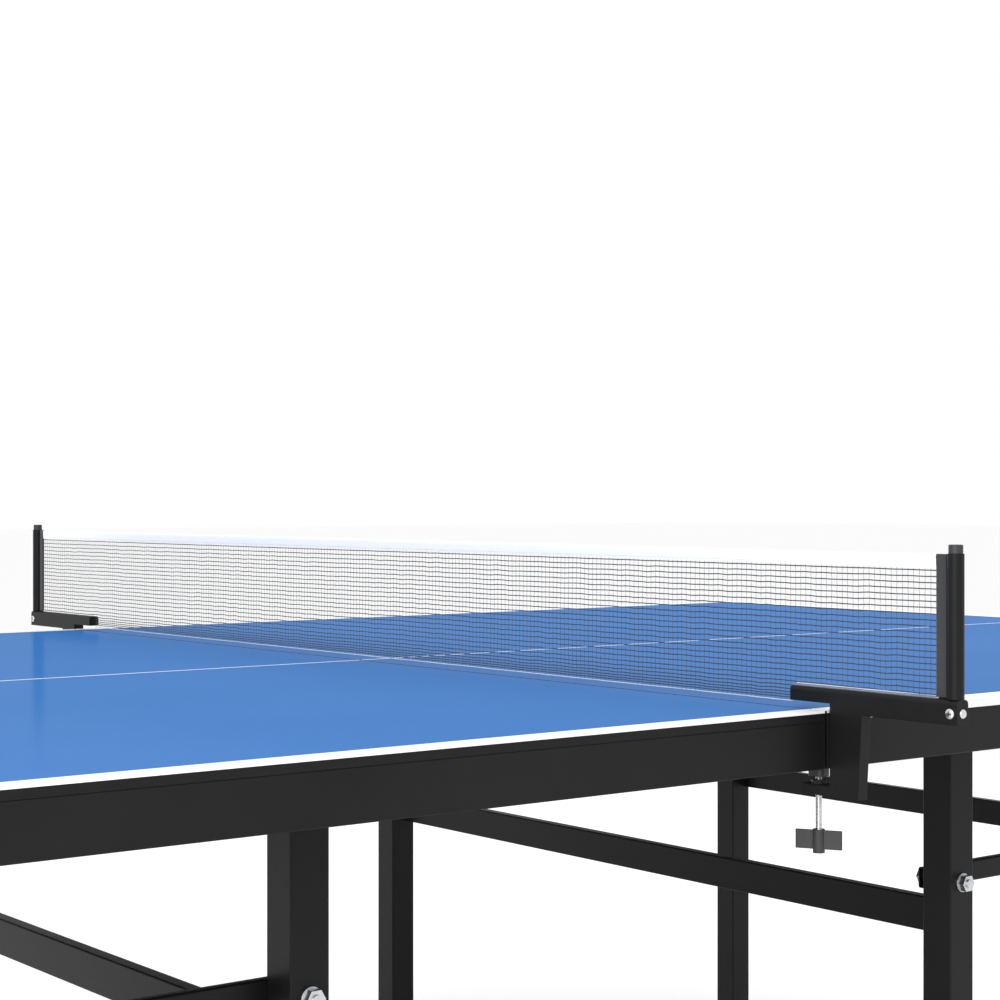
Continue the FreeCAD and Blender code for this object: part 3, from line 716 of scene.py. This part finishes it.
def screw_thread(name):
    """The clamp's bright screw, with a real helical thread."""
    low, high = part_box("clamp_screw_" + name)
    centre = (low + high) / 2
    length = high.z - low.z
    outer = (high.x - low.x) / 2 - 0.00005
    root = outer - THREAD_DEPTH
    turns = int(length / SCREW_PITCH) - 1
    mesh_data = bmesh.new()
    rings = []
    total = turns * THREAD_STEPS
    for index in range(total + 1):
        angle = 2 * math.pi * index / THREAD_STEPS
        up = low.z + SCREW_PITCH * index / THREAD_STEPS
        direction = Vector((math.cos(angle), math.sin(angle), 0))
        base = Vector((centre.x, centre.y, up))
        rings.append([
            mesh_data.verts.new(base + direction * root),
            mesh_data.verts.new(base + direction * outer + Vector((0, 0, SCREW_PITCH * 0.42))),
            mesh_data.verts.new(base + direction * outer + Vector((0, 0, SCREW_PITCH * 0.58))),
        ])
    for index in range(total):
        lower = rings[index]
        upper = rings[index + 1]
        mesh_data.faces.new((lower[0], upper[0], upper[1], lower[1]))
        mesh_data.faces.new((lower[1], upper[1], upper[2], lower[2]))
        if index + THREAD_STEPS < total:
            next_turn = rings[index + THREAD_STEPS:index + THREAD_STEPS + 2]
            mesh_data.faces.new((lower[2], upper[2], next_turn[1][0], next_turn[0][0]))
    profile = [
        (root * 0.5, 0.0), (root, 0.0004), (root, length - 0.0016),
        (outer - 0.0001, length - 0.0012), (outer - 0.0001, length - 0.0004),
        (root * 0.8, length),
    ]
    add_lathe(mesh_data, (centre.x, centre.y, low.z), (0, 0, 1), profile, THREAD_STEPS)
    body = "screw_" + name
    piece = add_piece(body, mesh_data, BRIGHT_STEEL, body, 50.0)
    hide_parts("clamp_screw_" + name)


def cross_head_bolt(name, side):
    """A bright pan-head bolt whose cross recess is painted shade, drawn as a dark cross, and a
    rivet on the bar's outer end.
    """
    low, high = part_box("net_fasteners")
    centre = Vector((0.0, side * POST_Y, (low.z + high.z) / 2))
    mesh_data = bmesh.new()
    profile = [
        (BOLT_RADIUS, 0.0), (BOLT_RADIUS, 0.0008), (BOLT_RADIUS * 0.94, 0.0015),
        (BOLT_RADIUS * 0.78, 0.0021), (BOLT_RADIUS * 0.5, 0.00245), (BOLT_RADIUS * 0.2, 0.0025),
    ]
    add_lathe(mesh_data, centre, (-1, 0, 0), profile, 32)
    # Painted shade: the cross recess is drawn as thin dark blocks in the black rubber material,
    # standing a little proud of the head.
    mark = len(mesh_data.faces)
    for along, up in ((0.0056, 0.0011), (0.0011, 0.0056)):
        low_corner = (-0.00256, centre.y - along / 2, centre.z - up / 2)
        high_corner = (-0.0020, centre.y + along / 2, centre.z + up / 2)
        add_block(mesh_data, low_corner, high_corner)
    mesh_data.faces.ensure_lookup_table()
    for face in mesh_data.faces[mark:]:
        face.material_index = 1
    end = Vector((NET_X, side * BAR_REACH, centre.z))
    rivet = [(0.0042, 0.0), (0.0041, 0.0007), (0.0034, 0.0015), (0.0018, 0.00195), (0.0004, 0.002)]
    add_lathe(mesh_data, end, (0, side, 0), rivet, 32)
    piece = add_piece("net_bolt_" + name, mesh_data, BRIGHT_STEEL, "top_b", 30.0)
    # The second slot holds the black rubber colour used for the painted shade in the cross.
    piece.data.materials.append(RUBBER)
    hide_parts("net_fasteners")


# ---------- castor and weld details ----------

def castor_names():
    """The castors' names without their nodes' prefix."""
    prefix = "castor_wheel_"
    return [name[len(prefix):] for name in frame["nodes"] if name.startswith(prefix)]


def wheel_details(key):
    """Grey hub discs on both sides of the wheel."""
    low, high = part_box("castor_wheel_" + key)
    centre = (low + high) / 2
    half = (high.y - low.y) / 2
    mesh_data = bmesh.new()
    hub = [
        (0.0045, half - 0.0062), (0.0209, half - 0.0062), (0.0209, half - 0.0022),
        (0.0190, half - 0.0016), (0.0125, half - 0.0022), (0.0100, half - 0.0008),
        (0.0062, half - 0.0004), (0.0045, half - 0.0004),
    ]
    for side in (-1, 1):
        add_lathe(mesh_data, centre, (0, side, 0), hub, 40)
    add_piece("wheel_hub_" + key, mesh_data, HUB_PLASTIC, "wheel_" + key, 30.0)


def fork_rivets(key):
    """Axle nut and bolt head on the fork's cheeks."""
    low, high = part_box("castor_wheel_" + key)
    centre = (low + high) / 2
    fork_low, fork_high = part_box("castor_fork_" + key)
    half = (fork_high.y - fork_low.y) / 2
    mesh_data = bmesh.new()
    for side in (-1, 1):
        profile = [(0.0042, half - 0.0006), (0.0041, half + 0.0002), (0.0030, half + 0.0011),
                   (0.0004, half + 0.0014)]
        add_lathe(mesh_data, centre, (0, side, 0), profile, 24)
    add_piece("axle_nut_" + key, mesh_data, BRIGHT_STEEL, "swivel_" + key, 30.0)


def weld_bead(mesh_data, start, end, radius, seed):
    """A low rippled bead of weld between two points."""
    run = end - start
    steps = max(4, int(run.length / WELD_STEP))
    rings = []
    turn = axis_matrix(run)
    for index in range(steps + 1):
        point = start + run * (index / steps)
        ripple = 1.0 + 0.16 * math.sin(index * 2.1 + seed) + 0.08 * noise.noise(point * 300)
        taper = min(1.0, (min(index, steps - index) + 0.35) / 2.0)
        ring = []
        for side in range(WELD_SIDES):
            angle = 2 * math.pi * side / WELD_SIDES
            local = Vector((math.cos(angle), math.sin(angle), 0)) * radius * ripple * taper
            ring.append(mesh_data.verts.new(turn @ local + point))
        rings.append(ring)
    join_rings(mesh_data, rings)


def frame_welds(half, sign):
    """Weld beads where the cross rails meet the legs, and the legs meet the foot tubes."""
    leg_face = LEG_Y - LEG_HALF
    inner = bmesh.new()
    rail_half = RAIL_INNER_DEPTH / 2
    rail_x = sign * (INNER_LEG_X + RAIL_INNER_OFFSET)
    for side in SIDES.values():
        for across in (-rail_half, rail_half):
            start = Vector((rail_x + across, side * leg_face, RAIL_INNER[0] + WELD_INSET))
            end = Vector((start.x, start.y, RAIL_INNER[1] - WELD_INSET))
            weld_bead(inner, start, end, WELD_RADIUS, side)
        for up in RAIL_INNER:
            start = Vector((rail_x - rail_half + WELD_INSET, side * leg_face, up))
            end = Vector((rail_x + rail_half - WELD_INSET, side * leg_face, up))
            weld_bead(inner, start, end, WELD_RADIUS, side + 2)
        for face in (-1, 1):
            x = sign * INNER_LEG_X + face * LEG_HALF
            start = Vector((x, side * LEG_Y - FOOT_WELD_HALF, FOOT_TOP))
            end = Vector((x, side * LEG_Y + FOOT_WELD_HALF, FOOT_TOP))
            weld_bead(inner, start, end, FOOT_WELD_RADIUS, face)
    add_piece("welds_inner_" + half, inner, POWDER, "carriage_" + half, 60.0)
    outer = bmesh.new()
    rail_face = OUTER_LEG_X + LEG_HALF
    rail = sorted((sign * rail_face, sign * (rail_face - RAIL_OUTER_DEPTH)))
    for side in SIDES.values():
        for up in RAIL_OUTER:
            start = Vector((rail[0] + 0.002, side * leg_face, up))
            end = Vector((rail[1] - 0.002, side * leg_face, up))
            weld_bead(outer, start, end, WELD_RADIUS, side + 5)
        inner_x = sign * (rail_face - RAIL_OUTER_DEPTH)
        start = Vector((inner_x, side * leg_face, RAIL_OUTER[0] + WELD_INSET))
        end = Vector((inner_x, side * leg_face, RAIL_OUTER[1] - WELD_INSET))
        weld_bead(outer, start, end, WELD_RADIUS, side + 3)
    add_piece("welds_outer_" + half, outer, POWDER, "outer_legs_" + half, 60.0)


# ---------- materials on the CAD nodes ----------

def dress(node, material):
    """Give a CAD node one material all over."""
    mesh = frame["nodes"][node].data
    mesh.materials.clear()
    mesh.materials.append(material)
    mesh.polygons.foreach_set("material_index", [0] * len(mesh.polygons))


LINE_PAINT = line_paint()
THREAD = thread_material()
TAPE_CLOTH = woven("tape_cloth", (0.86, 0.86, 0.86), (0.94, 0.94, 0.94), 0.0011, 0.75, 0.3)
HEM_CLOTH = woven("hem_cloth", (0.62, 0.60, 0.61), (0.78, 0.76, 0.77), 0.0009, 0.75, 0.3)
SLEEVE_CLOTH = woven(
    "sleeve_cloth", (0.014, 0.014, 0.015), (0.032, 0.032, 0.034), 0.0010, 0.8, 0.2
)
POWDER = powder_coat()
BRIGHT_STEEL = bright_metal("bright_steel", (0.62, 0.62, 0.63), (0.80, 0.80, 0.81), 0.16, 0.30)
ZINC = bright_metal("zinc_plated", (0.52, 0.53, 0.55), (0.68, 0.69, 0.71), 0.26, 0.42)
PLASTIC = moulded(
    "black_plastic", (0.020, 0.020, 0.021), (0.030, 0.030, 0.031), 0.42, 0.55, 1400.0
)
HUB_PLASTIC = moulded("hub_plastic", (0.19, 0.19, 0.20), (0.24, 0.24, 0.25), 0.40, 0.52, 1200.0)
RUBBER = moulded("black_rubber", (0.014, 0.014, 0.014), (0.022, 0.022, 0.022), 0.62, 0.80, 900.0)
TYRE = moulded("castor_tyre", (0.022, 0.022, 0.023), (0.034, 0.034, 0.035), 0.58, 0.74, 1100.0)
SLOT_MATERIALS = {
    "playing_surface": board_paint(),
    "edge_trim_a": edge_band("edge_trim_a", *BLACK_BAND),
    "edge_trim_b": edge_band("edge_trim_b", *WHITE_BAND),
    "black_powder_coat": POWDER,
    "zinc_plated": ZINC,
    "bright_steel": BRIGHT_STEEL,
    "black_plastic": PLASTIC,
    "black_rubber": RUBBER,
    "castor_tyre": TYRE,
    "net_thread": THREAD,
    "net_tape": TAPE_CLOTH,
}
for part in frame["record"]["subparts"]:
    dress(part["node"], SLOT_MATERIALS[part["material_slot"]])

for half_name, half_sign in HALVES.items():
    painted_lines(half_name, half_sign)
    frame_welds(half_name, half_sign)

threads, thread_area = net_threads()
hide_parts("net_mesh")
hem = net_hem()
sleeves = [net_sleeve(name, side) for name, side in SIDES.items()]
tape, tape_width = net_tape()
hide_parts("net_tape")
stitches = tape_stitches()
net_cord()
for side_name, side in SIDES.items():
    cross_head_bolt(side_name, side)
for side_name in SIDES:
    screw_thread(side_name)
for key in castor_names():
    wheel_details(key)
    fork_rivets(key)


# ---------- floor, light and camera ----------

def studio():
    """A wide pale floor."""
    mesh = bpy.data.meshes.new("studio_floor")
    mesh_data = bmesh.new()
    corners = [(-1, -1), (1, -1), (1, 1), (-1, 1)]
    mesh_data.faces.new(
        [mesh_data.verts.new((x * FLOOR_REACH, y * FLOOR_REACH, 0)) for x, y in corners]
    )
    mesh_data.to_mesh(mesh)
    mesh_data.free()
    floor = bpy.data.objects.new("studio_floor", mesh)
    bpy.context.scene.collection.objects.link(floor)
    material, _tree, shader = new_material("studio_floor")
    shader.inputs["Base Color"].default_value = (0.97, 0.97, 0.97, 1)
    shader.inputs["Roughness"].default_value = 0.9
    mesh.materials.append(material)


def area_light(name, place, target, size, power):
    """A square soft light that faces its target."""
    light = bpy.data.lights.new(name, "AREA")
    light.shape = "SQUARE"
    light.size = size
    light.energy = power
    lamp = bpy.data.objects.new(name, light)
    lamp.location = place
    aim = Vector(target) - Vector(place)
    lamp.rotation_euler = aim.to_track_quat("-Z", "Y").to_euler()
    bpy.context.scene.collection.objects.link(lamp)


def lights():
    """A white surround, a key light from the near left and a weaker fill from the far right."""
    world = bpy.data.worlds.new("studio")
    world.use_nodes = True
    background = world.node_tree.nodes["Background"]
    background.inputs["Color"].default_value = (1, 1, 1, 1)
    background.inputs["Strength"].default_value = 1.0
    bpy.context.scene.world = world
    middle = (0, 0, 0.7)
    area_light("key", place=(-3.4, -2.2, 2.2), target=middle, size=2.5, power=105)
    area_light("fill", place=(3.2, 1.5, 3.2), target=middle, size=3.0, power=45)


def camera():
    data = bpy.data.cameras.new("camera")
    data.lens = CAMERA_LENS
    data.sensor_width = SENSOR_WIDTH
    data.clip_end = 100.0
    view = bpy.data.objects.new("camera", data)
    view.location = CAMERA_PLACE
    view.rotation_euler = (math.radians(90), 0, math.radians(CAMERA_YAW))
    bpy.context.scene.collection.objects.link(view)
    bpy.context.scene.camera = view


studio()
lights()
camera()
bpy.context.scene.view_settings.view_transform = "Standard"
